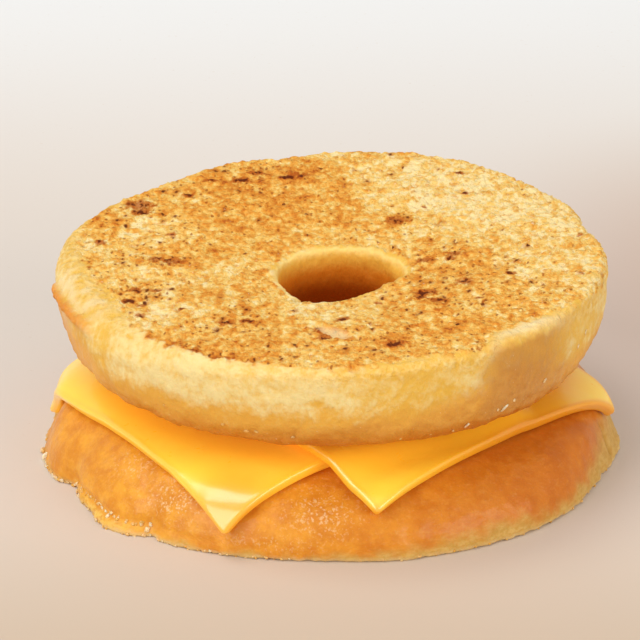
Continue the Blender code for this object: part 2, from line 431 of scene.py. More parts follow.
upperRows = {
    # points round the ring, and rows over the cut face: coarse ones as far as coarseTo, and then finer ones;
    # from the row fineFrom on, a row keeps all its points
    "round": 700,
    "coarseTo": 25.0 * mm,
    "coarseFace": 32,
    "face": 52,
    "fineFrom": 32,
    "outerRim": 13,
    "innerRim": 4,
    # shares of the crown's length, and rows in each: the side, the hidden crown and the hole's wall
    "crown": [(0.0, 0.29, 37), (0.29, 0.72, 14), (0.72, 1.0, 28)],
}
upperLook = {
    # how far the griddled crumb reaches past the edge of the cut, in mm, round the ring
    "crumbReach": [(0, 3.4), (20, 3.2), (40, 2.8), (90, 1.5), (130, 0.9), (155, 0.9), (168, 0.4),
                   (185, -0.8), (200, -1.2), (207, -0.9), (217, 0.6), (228, 1.6), (240, 1.0), (251, 0.5),
                   (263, 0.5), (274, 1.0), (281, 0.2), (290, -1.0), (299, 1.4), (303, 0.8), (309, -3.2),
                   (318, -2.4), (325, -0.2), (335, 2.0), (350, 3.2)],
    # noise: size, detail, shift and flatness
    "noise": {
        "ragged": (2.2 * mm, 3),
        "fineTeeth": (0.9 * mm, 2, 71.0),
        "grain": (0.8 * mm, 2, 3.0),
        "waves": (9.0 * mm, 2, 5.0),
        "dimples": (4.5 * mm, 2, 9.0),
        "creases": (1.3 * mm, 3, 21.0, 0.6),
        "torn": (1.7 * mm, 2, 31.0),
        "glazeEdge": (5.0 * mm, 3, 41.0),
        "blotches": (2.6 * mm, 2, 61.0),
    },
    # burst cells of the crumb: size and shift
    "openCells": (1.5 * mm, 0.0),
    "smallCells": (0.85 * mm, 11.0),
    # the crumb's ragged edge: coarse and fine teeth, its reach into the hole, and how soft it is, in mm
    "crumbEdge": {"coarse": 1.3, "fine": 0.8, "softness": 0.9, "inHole": 0.5, "holeSoftness": 0.8},
    # the toasted front edge of the crumb: angle and spread in degrees, strength, and its place across the
    # edge in mm: middle and spread
    "toastedEdge": (243, 26, 0.8),
    "toastedAcross": (-0.7, 0.9),
    # relief in mm: of the crumb, of the smooth dough, and of the torn edges round the cut and the hole
    "crumbRelief": {"level": 0.05, "grain": 0.28, "openCells": 0.60, "smallCells": 0.36, "waves": 0.30},
    "doughRelief": {"dimples": 0.22, "creases": 0.15},
    "tornRim": 0.30,
    "tornHole": 0.42,
    # where the hole's edge is torn, and where it is out of round: mm past the edge and spread
    "tornHoleAt": (0.3, 1.1),
    "outOfRoundAt": (0.5, 2.6),
    # the hole's wall begins this far past the edge, over this width, and at least so many rows on
    "wallFrom": (0.2, 0.8),
    "wallRows": 8,
    # the dough's rougher lower edge: height and spread in mm, and how much rougher
    "lowEdge": (21.0, 2.0, 1.2),
    # it is calm where it rests on the cheese: height and width in mm, and the share of relief left
    "resting": (17.6, 1.6, 0.4),
    # height below which the skin is glazed, in mm, round the ring
    "glazeBelow": [(0, 25), (25, 26), (60, 24), (100, 25), (140, 23), (165, 25), (178, 26.0), (190, 28.0),
                   (200, 28.0), (208, 27.0), (217, 23.0), (226, 20.6), (235, 20.5), (264, 23.0),
                   (281, 24.0), (292, 25.0), (300, 28.5), (310, 31.0), (320, 28.0), (333, 24.0),
                   (345, 24.0)],
    # how ragged and soft the upper end of the glaze is, in mm, and where it is softer: angle, spread and mm
    "glazeEdge": {"ragged": 1.5, "softness": 2.6, "softer": (312, 22, 5.0)},
    # how much cream colour the side is painted with, round the ring
    "cream": [(0, 0.60), (60, 0.5), (120, 0.6), (165, 0.85), (180, 0.7), (195, 0.2), (205, 0.2), (212, 0.4),
              (222, 1.0), (262, 1.0), (274, 0.75), (284, 0.40), (300, 0.45), (312, 0.10), (335, 0.35),
              (350, 0.60)],
    # the cream begins at this height and over this width, and higher up a share of it goes again, in mm
    "creamFrom": (23.5, 4.5),
    "creamLessFrom": (31.8, 2.0),
    "creamLess": 0.55,
    # painted light: the lower skin on the left is painted lighter, where it catches the light: angle and
    # spread in degrees
    "litSkin": (203, 15),
    # a duller, tan stretch of the side: from and to in degrees, its upper edge in mm, and how soft these are
    "tan": {"from": 303.5, "to": 325, "top": 34.5, "softFrom": 7, "softTo": 16, "softTop": 2.0,
            "raggedFrom": 3, "raggedTop": 1.2, "upFrom": (19.5, 4)},
    # the pale rim just below the crumb: how far below its middle is and how wide it is, in mm
    "rim": (1.8, 1.6),
    # where it is wider, and where it is paler: angle, spread, and by how much
    "wideRim": (192, 26, 2.2),
    "rimOverTan": (316, 9, 1.2),
    "rimOverTanWidth": 1.8,
    # a loose lip of glazed skin on the left, with a hollow below it: heights in mm round the ring
    "lip": {
        "top": [(174, 29.2), (178, 30.0), (188, 30.8), (197, 31.1), (203, 31.2), (207, 31.5), (211, 31.4),
                (213, 30.0), (216, 27.5), (219, 24.5)],
        "bottom": [(174, 28.8), (178, 29.2), (188, 29.4), (194, 29.5), (200, 29.6), (206, 29.8),
                   (212, 30.0), (219, 24.0)],
        "from": 183,
        "to": 209,
        "softFrom": 4,
        "softTo": 8,
        "height": 1.1,
        "hollow": 0.2,
        "hollowFrom": (17.5, 4),
        # how ragged and how soft its ends are, in mm
        "topEnd": (0.4, 0.5),
        "bottomEnd": (0.3, 0.6),
        # its skin gets this much duller to the right, from an angle on and over a width
        "duller": 0.20,
        "dullerFrom": (198, 8),
        # pale dough above its top and below its bottom: middle and spread in mm
        "paleAbove": (1.6, 1.6),
        "paleBelow": (-1.4, 1.5),
        # the pale patch below its left end: angle and spread
        "patch": (189, 9),
    },
    # browner places of the face: x, y, radius (mm) and strength
    "browned": [(-16, 34, 9, 1.0), (-5, 35, 7, 0.9), (-9, 21, 13, 0.75), (3, 17, 9, 0.6), (-17, 10, 9, 0.5),
                (20, -18, 12, 0.65), (14, -30, 10, 0.55), (27, -30, 8, 0.5), (10, -39, 6, 0.7),
                (-30, -33, 4.5, 0.9), (-20, -40, 6, 0.9), (-27, 24, 8, 0.55), (11, 16, 3.5, 0.8),
                (-20, -13, 3.5, 0.9), (-12, -24, 8, 0.6), (3, -47, 4, 0.9), (-10, -6, 8, 0.35),
                (-28, 1, 6, 0.5), (-33, -13, 5, 0.5), (-1, -32, 5, 0.7), (16, -4, 9, 0.45),
                (-40, 8, 4, 0.5), (-41, -3, 4, 0.5), (-16, -36, 9, 0.5), (24, 0, 7, 0.4),
                (-40, 18, 3.0, 1.0), (-38.5, 14.8, 2.8, 1.0)],
    # creamy places, in the same way
    "creamy": [(20, 26, 13, 0.8), (33, 14, 11, 0.7), (38, -3, 8, 0.4), (-30, 12, 6, 0.4),
               (-30, -22, 7, 0.5), (-22, -8, 5, 0.3), (-4, -20, 6, 0.6), (5, -25, 4, 0.5), (10, 33, 7, 0.4),
               (-37, -5, 5, 0.3), (-42.5, 9, 3, 0.7)],
    # places with many dark flecks: x, y, radius (mm) and strength
    "flecked": [(-30, 0, 6, 0.9), (-33, -14, 7, 1.0), (-28, 12, 7, 0.6), (-34, 22, 4, 1.0),
                (-15, -26, 8, 0.9), (18, -14, 7, 0.9), (19, 0, 6, 0.7), (28, -8, 7, 0.8), (7, -37, 8, 0.9),
                (-22, -38, 7, 0.9), (-1, -31, 5, 0.9), (-15, 35, 8, 0.7), (-27, 26, 6, 0.7),
                (-42, -3, 4, 0.7), (24, -18, 7, 0.7), (24, -38, 3, 0.9), (-4, -45, 5, 0.6),
                (11, 15, 4, 0.8), (-30, -33, 4, 0.6), (35, -12, 6, 0.4), (-38, 17, 3, 1.0)],
    # scorched spots: x, y and size in mm
    "scorched": [(-33.5, 23.5, 1.9), (-33.0, 20.5, 1.2), (-27.3, -0.2, 1.3), (-29.8, 0.4, 1.0),
                 (-33.0, -12.3, 0.9), (-29.4, -12.4, 0.7), (-34.0, -17.0, 0.8), (-31.8, -18.6, 0.6),
                 (-17.6, -26.2, 0.9), (-14.3, -25.3, 0.9), (15.7, -0.3, 1.0), (21.0, 1.0, 0.9),
                 (20.3, -0.6, 0.8), (22.5, -10.7, 1.1), (16.0, -14.4, 1.3), (18.0, -18.0, 0.9),
                 (15.3, -16.6, 0.8), (24.8, -18.3, 0.6), (8.0, -17.6, 0.5), (-22.8, -38.0, 1.1),
                 (-1.0, -33.2, 1.0), (-1.9, -29.0, 0.8), (10.6, -36.6, 1.2), (25.0, -39.8, 0.8),
                 (3.0, -47.6, 0.9), (-42.0, -2.6, 0.8), (-39.6, 7.8, 0.8), (2.0, -25.2, 0.9),
                 (11.0, 15.6, 1.2), (-13.0, 37.0, 1.0), (-8.0, 34.4, 1.0), (-16.0, 34.0, 1.1),
                 (-5.0, 35.0, 0.9), (-25.0, 27.5, 0.8), (-21.0, 33.5, 0.7), (30.5, -8.5, 0.7),
                 (23.5, 26.2, 0.5), (22.5, 34.4, 0.5), (16.2, 20.8, 0.4), (42.6, 6.0, 0.4),
                 (-40.0, -13.0, 0.6), (-32.0, -23.0, 0.7), (-27.5, 11.0, 0.6), (-25.0, -20.5, 0.5)],
    # how far the hole's edge is out of round, in mm, and the size and place of the torn teeth on its front
    "holeOutline": [(0, 0.6), (20, 0.8), (45, 0.3), (90, 0.3), (135, 0.4), (180, -0.2), (215, -0.3),
                    (232, 0.7), (241, 1.7), (250, 1.2), (265, 0.3), (280, -0.8), (300, -1.8), (325, -1.9),
                    (345, -0.6)],
    "teeth": 1.1,
    "teethAt": (250, 45),
    "teethElsewhere": 0.3,
    # depth at which the hole's wall is painted darkest, as shade, in mm
    "holeDepth": 16,
    # the shallow oval dent: x, y, turn of its long side, half length, half width, depth
    "dent": (0.4, -30.8, -48, 4.8, 1.8, 0.8),
}


def crownLevel(x, y):
    # the height the crown lies on: it settles at the back, where the slices don't reach
    past = [outsideSquare(x, y, cheeseSlices[name]) for name in ("under", "over")]
    missing = sum(ease(distance / upperRing["settleWidth"]) for distance in past)
    fall = upperRing["settleShare"] * (cheeseSlices["thickness"] + cheeseSlices["gap"])
    return upperCrown - fall * missing * ease(y / upperRing["settleFrom"])


def outsideSquare(x, y, square):
    # how far a place is outside a slice
    cornerX, cornerY, turn, width, length = square
    u, v = turned(x - cornerX, y - cornerY, turn)
    return np.hypot(np.maximum(np.maximum(-u, u - width), 0), np.maximum(np.maximum(-v, v - length), 0))


def upperSection(angle):
    centre, spread, extra = upperRing["rolledEdge"]
    rim = upperRing["outerRim"] + extra * mm * float(bump(angle, centre, spread))
    return ringSection(upperRing, rim, upperRows)


def placeUpper(angle, r, h):
    outwards = (r - upperRing["hole"]) / (upperRing["radius"] - upperRing["hole"])
    r = r + outwards * swelling(angle, upperRing["outline"])
    inward = np.maximum(0.0, (upperRing["radius"] - r) / (upperRing["radius"] - upperRing["hole"]))
    x = r * np.cos(angle) + upperRing["holeShift"][0] * inward
    y = r * np.sin(angle) + upperRing["holeShift"][1] * inward
    cut = upperRing["top"] + upperRing["cutRise"][0] * x + upperRing["cutRise"][1] * y
    cut = cut - upperRing["cutDish"] * inward * inward
    z = cut - h / upperRing["height"] * (cut - crownLevel(x, y))
    return np.stack([x, y, z], axis=2)


def makeUpperHalf(material):
    look = upperLook
    grid = ringGrid(upperRing, upperSection, placeUpper, upperRows)
    steps, rowCount = grid["points"].shape[:2]
    lastFine, fine = fineRows(upperRows, rowCount)
    flat = grid["points"].reshape(-1, 3)
    x, y, z = (flat / mm).T
    angle, ringAngle = np.arctan2(flat[:, 1], flat[:, 0]), grid["angle"].ravel()
    turn = np.degrees(angle) % 360
    pastOuter, pastInner = grid["pastOuter"].ravel() / mm, grid["pastInner"].ravel() / mm
    row = np.tile(np.arange(rowCount), steps)
    onTop = (pastInner < 3) | (row <= lastFine)
    inHole = rise(pastInner, *look["wallFrom"]) * (row > lastFine + look["wallRows"])
    onSide = (pastOuter > 0) * (1 - inHole)

    noises = {name: lumps(flat, *numbers) for name, numbers in look["noise"].items()}
    ragged, torn, dimples = noises["ragged"], noises["torn"], noises["dimples"]

    # the crumb ends in a ragged edge a little past the cut, on the side and in the hole
    edge = look["crumbEdge"]
    reach = roundTable(angle, look["crumbReach"])
    crumbEnd = reach + edge["coarse"] * ragged + edge["fine"] * noises["fineTeeth"]
    intoHole = over(edge["inHole"] * (1 + ragged) - pastInner, edge["holeSoftness"])
    crumb = over(crumbEnd - pastOuter, edge["softness"]) * np.where(row > lastFine, intoHole, 1) * onTop

    # relief of the crumb: cells that burst open, fine grain, slow waves
    amount = look["crumbRelief"]
    crumbRelief = amount["level"] + amount["grain"] * noises["grain"] + amount["waves"] * noises["waves"]
    for cells in ("openCells", "smallCells"):
        crumbRelief -= amount[cells] * pits(flat, *look[cells])
    # the dough has soft dimples; it is rougher along its lower edge, and calm where it rests on the cheese
    amount = look["doughRelief"]
    doughRelief = amount["dimples"] * dimples + amount["creases"] * noises["creases"]
    lowHeight, lowSpread, rougher = look["lowEdge"]
    restHeight, restWidth, restShare = look["resting"]
    doughRelief *= 1 + rougher * hill(z, lowHeight, lowSpread)
    doughRelief *= restShare + (1 - restShare) * rise(z, restHeight, restWidth)
    relief = crumb * crumbRelief + (1 - crumb) * doughRelief
    # torn edges round the cut and the hole
    relief += look["tornRim"] * torn * hill(pastOuter - reach) * onTop
    relief += look["tornHole"] * torn * hill(pastInner, *look["tornHoleAt"])
    teeth = look["teeth"] * torn * (bump(ringAngle, *look["teethAt"]) + look["teethElsewhere"])
    outOfRound = roundTable(ringAngle, look["holeOutline"]) + teeth
    outOfRound *= hill(pastInner, *look["outOfRoundAt"])

    # glazed skin low on the side, and the loose lip on the left
    edge = look["glazeEdge"]
    glazeEnd = roundTable(angle, look["glazeBelow"]) + edge["ragged"] * noises["glazeEdge"]
    softness = edge["softness"] + bump(angle, *edge["softer"])
    glazed = over(glazeEnd - z, softness) * onSide
    lip = look["lip"]
    lipTop, lipBottom = roundTable(angle, lip["top"]), roundTable(angle, lip["bottom"])
    lipHere = over(turn - lip["from"], lip["softFrom"]) * over(lip["to"] - turn, lip["softTo"]) * onSide
    (topRagged, topSoft), (bottomRagged, bottomSoft) = lip["topEnd"], lip["bottomEnd"]
    belowTop = over(lipTop + topRagged * ragged - z, topSoft)
    aboveBottom = over(z - lipBottom + bottomRagged * ragged, bottomSoft)
    relief += lipHere * lip["height"] * belowTop * aboveBottom
    relief -= lipHere * lip["hollow"] * (1 - aboveBottom) * rise(z, *lip["hollowFrom"])
    lipSkin = lipHere * belowTop * (0.30 + 0.70 * aboveBottom)
    lipSkin *= 1 - lip["duller"] * rise(turn, *lip["dullerFrom"])
    # pale dough over the lip, below its left end, and in the rim over the tan stretch
    blotches = ease(0.5 + 1.8 * noises["blotches"])
    lipPale = lipHere * (1 - belowTop) * hill(z - lipTop, *lip["paleAbove"]) * blotches
    paleBelow = hill(z - lipBottom, *lip["paleBelow"]) * bump(angle, *lip["patch"])
    lipPale += lipHere * (1 - aboveBottom) * paleBelow
    belowCrumb = pastOuter - reach
    rimMiddle, rimWidth = look["rim"]
    overTan = hill(belowCrumb, rimMiddle, look["rimOverTanWidth"])
    lipPale += bump(angle, *look["rimOverTan"]) * overTan
    limits = look["tan"]
    tan = over(turn + limits["raggedFrom"] * dimples - limits["from"], limits["softFrom"]) * onSide
    tan *= over(limits["to"] - turn, limits["softTo"])
    tanTop = limits["top"] + limits["raggedTop"] * ragged
    tan *= over(tanTop - z, limits["softTop"]) * rise(z, *limits["upFrom"])

    # along the front the crumb ends in a toasted edge, with cream dough right below it
    frontAngle, frontSpread, toasting = look["toastedEdge"]
    front = bump(angle, frontAngle, frontSpread)
    cream = roundTable(angle, look["cream"]) * rise(z, *look["creamFrom"])
    cream *= 1 - look["creamLess"] * rise(z, *look["creamLessFrom"]) * (1 - 0.8 * front)
    rimWidth = rimWidth + bump(angle, *look["wideRim"])
    rim = hill(belowCrumb, rimMiddle, rimWidth) * (belowCrumb > 0) * (1 - 0.75 * front)

    # the oval dent, deepest along its left edge
    dentX, dentY, dentTurn, halfLength, halfWidth, depth = look["dent"]
    along, across = turned(x - dentX, y - dentY, dentTurn)
    along, across = along / halfLength, across / halfWidth + 0.25 * ragged
    inDent = ease(1.6 - 1.6 * np.hypot(across, along)) * onTop
    relief = relief * (1 - 0.8 * inDent) - depth * inDent * (0.75 - 0.35 * across)
    dentEdge = hill(across, -0.95, 0.35) * np.exp(-(along + 0.25) ** 4) * onTop

    # browned places add up, the others don't
    browned = 1 - np.prod([1 - patches(x, y, [patch]) for patch in look["browned"]], axis=0)
    browned += toasting * front * hill(belowCrumb, *look["toastedAcross"])
    browned -= 0.8 * patches(x, y, look["creamy"])
    spots = [hill(np.hypot((x - spotX) / 1.25, y - spotY) / (1.35 * size))
             for spotX, spotY, size in look["scorched"]]
    # the dent's left edge is painted dark in the same way as the scorched spots
    scorched = np.max([*spots, 0.62 * dentEdge], axis=0)

    points = flat + gridNormals(grid["points"]).reshape(-1, 3) * (relief * mm)[:, None]
    points[:, 0] += outOfRound * mm * np.cos(ringAngle)
    points[:, 1] += outOfRound * mm * np.sin(ringAngle)
    marks = {
        "crumb": crumb, "relief": crumbRelief, "browned": browned * onTop, "scorched": scorched * crumb,
        "flecked": patches(x, y, look["flecked"]), "dent": inDent, "rim": rim, "cream": cream, "tan": tan,
        "glazed": glazed, "lipSkin": lipSkin, "lipPale": lipPale, "inHole": inHole,
        "litSkin": bump(ringAngle, *look["litSkin"]),
        "holeDepth": np.clip(pastInner / look["holeDepth"], 0, 1) * inHole,
    }
    points, faces, marks = usedPoints(points, gridFaces(fine, steps), marks)
    return makePiece("griddledUpperHalf", points, faces, marks, material)


griddledFinish = {
    # how hot each place of the crumb got: the shares of the marks and of the noises
    "heat": {"base": 0.33, "browned": 0.48, "broad": 0.7, "mottles": 1.9, "grain": 1.6, "relief": 0.25,
             "fine": 0.5},
    # shades: the first colour, and then from which value to which one each next colour takes over
    "toasting": ("F4DCA0", (-0.15, 0.32, "EEC46C"), (0.25, 0.65, "E6A648"), (0.60, 0.95, "D98A30"),
                 (0.95, 1.30, "B55E1C")),
    # layers: the strength of each, and its shades
    # painted shade in the pits of the crumb
    "hollowShade": (0.55, "DC9C42"),
    # painted highlights: small pale dots on the crumb
    "highlightDots": (0.5, "FAECC4"),
    "dashes": (0.65, "D8923A"),
    "tinySpecks": (0.75, "964A14"),
    "speckRings": (0.65, "B8641E"),
    "scorched": (0.80, "B05416"),
    "charred": "561C06",
    "dent": (0.8, "EED09A"),
    # specks: size of their cells in mm, how much longer than wide, and the shift of the pattern
    "specks": (2.1, 1.4, 17.0),
    "tiny": (1.15, 1.2, 53.0),
    # the share of cells that hold one, and how much it grows in flecked and in hot places
    "speckShare": (0.12, 0.48, 0.12),
    "tinyShare": (0.07, 0.38, 0.10),
    # the side, from the rim down
    "side": ("E5B54C", (0.10, 1.00, "EED898")),
    "rim": (0.6, "E2B048", (0.3, 0.7, "F0CE82")),
    "golden": (0.85, "E3A444"),
    "goldenHeight": (22.5, 29.0),
    "skin": ("E4A84A", (-0.3, 0.3, "D69238")),
    # painted light on the lower skin on the left
    "litSkin": (0.8, "F4B94E"),
    "glazed": 0.85,
    "lowest": "C86C18",
    "lowestHeight": (18.0, 23.5),
    "tan": (0.72, "CA8C44", (-0.3, 0.3, "BE7E36")),
    # sugar crystals, partly painted glints
    "sugarAndGlints": (0.45, "FBEAC4"),
    "lipPale": (0.6, "F0DDAE"),
    "lipSkin": (0.9, "DE8A32"),
    # the hole's wall, painted darker with its depth as shade
    "wall": ("F5D784", (0.0, 0.16, "ECB64A"), (0.10, 0.34, "CC761C"), (0.28, 0.60, "93400A")),
    "bumpDepth": 0.75 * mm,
}


def griddledDough():
    look = griddledFinish
    paint = Paint("griddledDough", {
        "Subsurface Weight": 0.08,
        "Subsurface Radius": (1.0, 0.45, 0.15),
        "Subsurface Scale": 0.0010,
        "Specular IOR Level": 0.10,
        "Coat Roughness": 0.25,
    })
    crumb, browned, relief, flecked, glazed, scorched, rim, litSkin = (paint.mark(name) for name in (
        "crumb", "browned", "relief", "flecked", "glazed", "scorched", "rim", "litSkin"))
    fine = paint.clouds(0.5, shift=2.0)
    grain = paint.clouds(0.95, stretch=(1, 1.3, 1), shift=4.0)
    mottles = paint.clouds(2.0, stretch=(1, 1.5, 1), shift=9.0, twist=0.5)
    broad = paint.clouds(7.0, shift=14.0)

    # cream crumb, golden where it is a little toasted, then orange and brown
    share = look["heat"]
    heat = share["base"] + browned * share["browned"]
    for name, noisy in (("broad", broad), ("mottles", mottles), ("grain", grain)):
        heat = heat + (noisy - 0.5) * share[name]
    heat = heat + relief * share["relief"] + (fine - 0.5) * share["fine"]
    colour = paint.shades(heat, *look["toasting"])
    # painted shade: a darker orange laid into the pits of the crumb
    colour = paint.lay(colour, paint.band(0 - relief, 0.20, 0.60), look["hollowShade"])
    # painted highlights: small pale dots on the crumb
    dots = paint.band(fine * 0.6 + grain * 0.4 - browned * 0.08, 0.60, 0.70)
    colour = paint.lay(colour, dots, look["highlightDots"])
    dashes = paint.clouds(1.0, roughness=0.55, stretch=(1.2, 1.2, 1), shift=61.0)
    colour = paint.lay(colour, paint.band(dashes * 0.8 + grain * 0.2, 0.565, 0.66), look["dashes"])

    def chosen(share, colour):
        # 1 in the cells that hold a speck, by chance
        base, inFlecked, inHot = share
        chance = paint.channel(colour, "Red")
        return paint.band(base + flecked * inFlecked + (heat - 0.4) * inHot - chance, 0.0, 0.06)

    # tiny brown specks, and crisp dark ones of many sizes, each with a brown ring round it
    near = paint.cells(*look["tiny"], "Distance") + (fine - 0.5) * 0.25
    here = chosen(look["tinyShare"], paint.cells(*look["tiny"], "Color"))
    colour = paint.lay(colour, (1 - paint.band(near, 0.12, 0.30)) * here, look["tinySpecks"])
    cellColour = paint.cells(*look["specks"], "Color")
    girth = paint.channel(cellColour, "Green")
    near = paint.cells(*look["specks"], "Distance") + (fine - 0.5) * 0.30 + (grain - 0.5) * 0.15
    here = chosen(look["speckShare"], cellColour)
    near = near / (0.05 + girth ** 2.0 * 0.10 + flecked * 0.03)
    colour = paint.lay(colour, (1 - paint.band(near, 0.9, 4.0)) * here, look["speckRings"])
    specks = (1 - paint.band(near, 0.6, 1.5)) * here * (0.5 + girth * 0.45)
    torn = (grain - 0.5) * 1.5 + (mottles - 0.5) * 1.0 + (fine - 0.5) * 0.7
    colour = paint.lay(colour, paint.band(scorched + torn * 0.5, 0.22, 0.75), look["scorched"])
    charred = paint.band(scorched + torn, 0.76, 1.02)
    colour = paint.blend(paint.most(specks, charred * 0.88), colour, look["charred"])
    toasted = paint.lay(colour, paint.mark("dent"), look["dent"])

    # the side: cream and gold in soft mottles, orange-brown lower down and where it is glazed
    mottled = paint.clouds(3.6, 3.0, 0.55, stretch=(1.2, 1.2, 1.0), shift=23.0)
    streaks = paint.clouds(1.1, 3.0, 0.6, stretch=(1, 1, 1.3), shift=27.0)
    uneven = (mottled - 0.5) * 1.5 + (streaks - 0.5) * 1.1
    creaminess = paint.mark("cream") * 0.70 + 0.10 + uneven * 1.1 + rim * (grain - 0.5) * 1.2
    side = paint.lay(paint.shades(creaminess, *look["side"]), rim, look["rim"], grain)
    height = paint.axis("Z")
    side = paint.lay(side, 1 - paint.band(height + uneven * 3.5, *look["goldenHeight"]), look["golden"])
    # painted light on the left: lighter skin there, and less of the darkest colour low down
    skin = paint.lay(paint.shades(uneven, *look["skin"]), litSkin, look["litSkin"])
    side = paint.blend(glazed * look["glazed"], side, skin)
    low = 1 - paint.band(height + uneven * 3.0, *look["lowestHeight"])
    side = paint.blend(low * (0.85 - 0.55 * litSkin), side, look["lowest"])
    side = paint.lay(side, paint.mark("tan"), look["tan"], uneven)
    # sugar crystals low on the side, partly painted glints: small pale grains
    crystalsAndGlints = paint.clouds(0.38, roughness=0.6, shift=37.0) + (mottled - 0.5) * 0.3 + low * 0.07
    side = paint.lay(side, paint.band(crystalsAndGlints, 0.70, 0.80), look["sugarAndGlints"])
    for lip in ("lipPale", "lipSkin"):
        side = paint.lay(side, paint.mark(lip), look[lip])

    # the hole's wall, streaked up and down, and painted darker deeper down as shade
    wall = paint.shades(paint.mark("holeDepth") + (streaks - 0.5) * 0.10, *look["wall"])
    colour = paint.blend(crumb, paint.blend(paint.mark("inHole"), side, wall), toasted)
    roughness = 0.50 + crumb * 0.30 - glazed * 0.10 + (mottled - 0.5) * 0.15
    crumbBumps = (fine - 0.5) * 0.45 + (grain - 0.5) * 0.9
    sideBumps = (mottled - 0.5) * 0.5 + (streaks - 0.5) * 0.35 + (fine - 0.5) * 0.12
    sideBumps = sideBumps + rim * (grain - 0.5) * 0.7
    bumps = crumb * crumbBumps + (1 - crumb) * sideBumps
    coat = (1 - crumb) * (0.06 + 0.16 * glazed)
    return paint.finish(colour, roughness, bumps, look["bumpDepth"], 1.0, coat)


# The lower half: glazed and orange-brown, with a paler foot on the right

lowerRows = {
    "round": 700,
    "coarseTo": 40.0 * mm,
    "coarseFace": 14,
    "face": 6,
    "fineFrom": 16,
    "outerRim": 4,
    "innerRim": 3,
    "crown": [(0.0, 0.36, 50), (0.36, 0.70, 16), (0.70, 1.0, 10)],
}
lowerLook = {
    # height of the pale foot in mm, round the ring
    "paleFoot": [(0, 7.0), (15, 6.0), (40, 3.5), (90, 3.0), (140, 2.5), (175, 1.2), (200, 0.3), (230, 0.4),
                 (262, 0.7), (275, 1.2), (288, 2.4), (305, 3.2), (320, 2.0), (333, 3.6), (343, 5.6),
                 (352, 6.5)],
    # how much browner the skin is painted, round the ring, most towards the right
    "brownness": [(0, 0.75), (60, 0.6), (120, 0.5), (180, 0.35), (200, 0.1), (222, 0.0), (245, 0.2),
                  (268, 0.4), (290, 0.7), (315, 0.95), (340, 1.0)],
    # whitish, crystalline patches of glaze: angle, height in mm, spread in degrees, spread in mm, strength
    "frosted": [(236, 7.0, 7, 3.0, 1.0), (268, 7.5, 8, 3.2, 0.8), (222, 9.0, 7, 2.0, 0.6),
                (258, 3.0, 10, 2.0, 0.4)],
    # the fold at the right end of the foot: angle, half width in degrees and depth in mm
    "fold": (349.5, 0.75, 0.55),
    # noise: size, detail, shift and flatness
    "noise": {
        "dimples": (5.0 * mm, 3, 2.0),
        "grain": (0.9 * mm, 2, 7.0),
        "wrinkles": (2.4 * mm, 2, 13.0, 2.2),
        "frayed": (1.5 * mm, 3, 19.0),
        "paleEdge": (3.0 * mm, 3, 23.0),
        "rimTop": (2.0 * mm, 2, 83.0),
    },
    # relief in mm, and how much more grain the frosted patches have
    "relief": {"dimples": 0.20, "grain": 0.035, "frostedGrain": 0.05, "wrinkles": 0.07},
    "frayedFoot": 0.38,
    # the foot's height in mm, and where it frays more and less: angle and spread in degrees
    "footHeight": 0.9,
    "moreFrayed": (205, 24),
    "lessFrayed": (290, 40),
    # a thin rim of glaze that ran out at the foot: angle and spread, and height in mm
    "glazeRim": (217, 13),
    "rimTop": 1.7,
    # the hollow over it: height, spread and depth in mm
    "rimHollow": (2.3, 0.8, 0.7),
    # the foot bulges beside it: angle, spread and how far, and height in mm
    "footBulge": (230, 12, 0.8),
    "bulgeHeight": 1.3,
    # highest place that has relief, in mm, so that the skin never pokes through the cheese
    "reliefTop": 11.2,
}


def overHeight(high, level):
    # a hump over the ring's height: 1 at this level, 0 at the cut and at the crown
    fade = lowerRing["fadeOverHeight"]
    return (high / level) ** (level * fade) * ((1 - high) / (1 - level)) ** ((1 - level) * fade)


def shapeLower(angle, r, h):
    ring = lowerRing
    high = np.clip(h / ring["height"], 0, 1)
    outwards = np.maximum(r - ring["hole"], 0) / (ring["radius"] - ring["hole"])
    r = r + outwards * swelling(angle, ring["outline"]) * (1 - high) ** ring["outlineFade"]
    r = r + outwards * swelling(angle, ring["sideDents"]) * overHeight(high, ring["dentLevel"])
    h = h + outwards * swelling(angle, ring["highShoulders"]) * overHeight(high, ring["shoulderLevel"])
    return r, h


def lowerSection(angle):
    return ringSection(lowerRing, lowerRing["outerRim"], lowerRows)


def placeLower(angle, r, h):
    r, h = shapeLower(angle, r, h)
    return np.stack([r * np.cos(angle), r * np.sin(angle), h], axis=2)


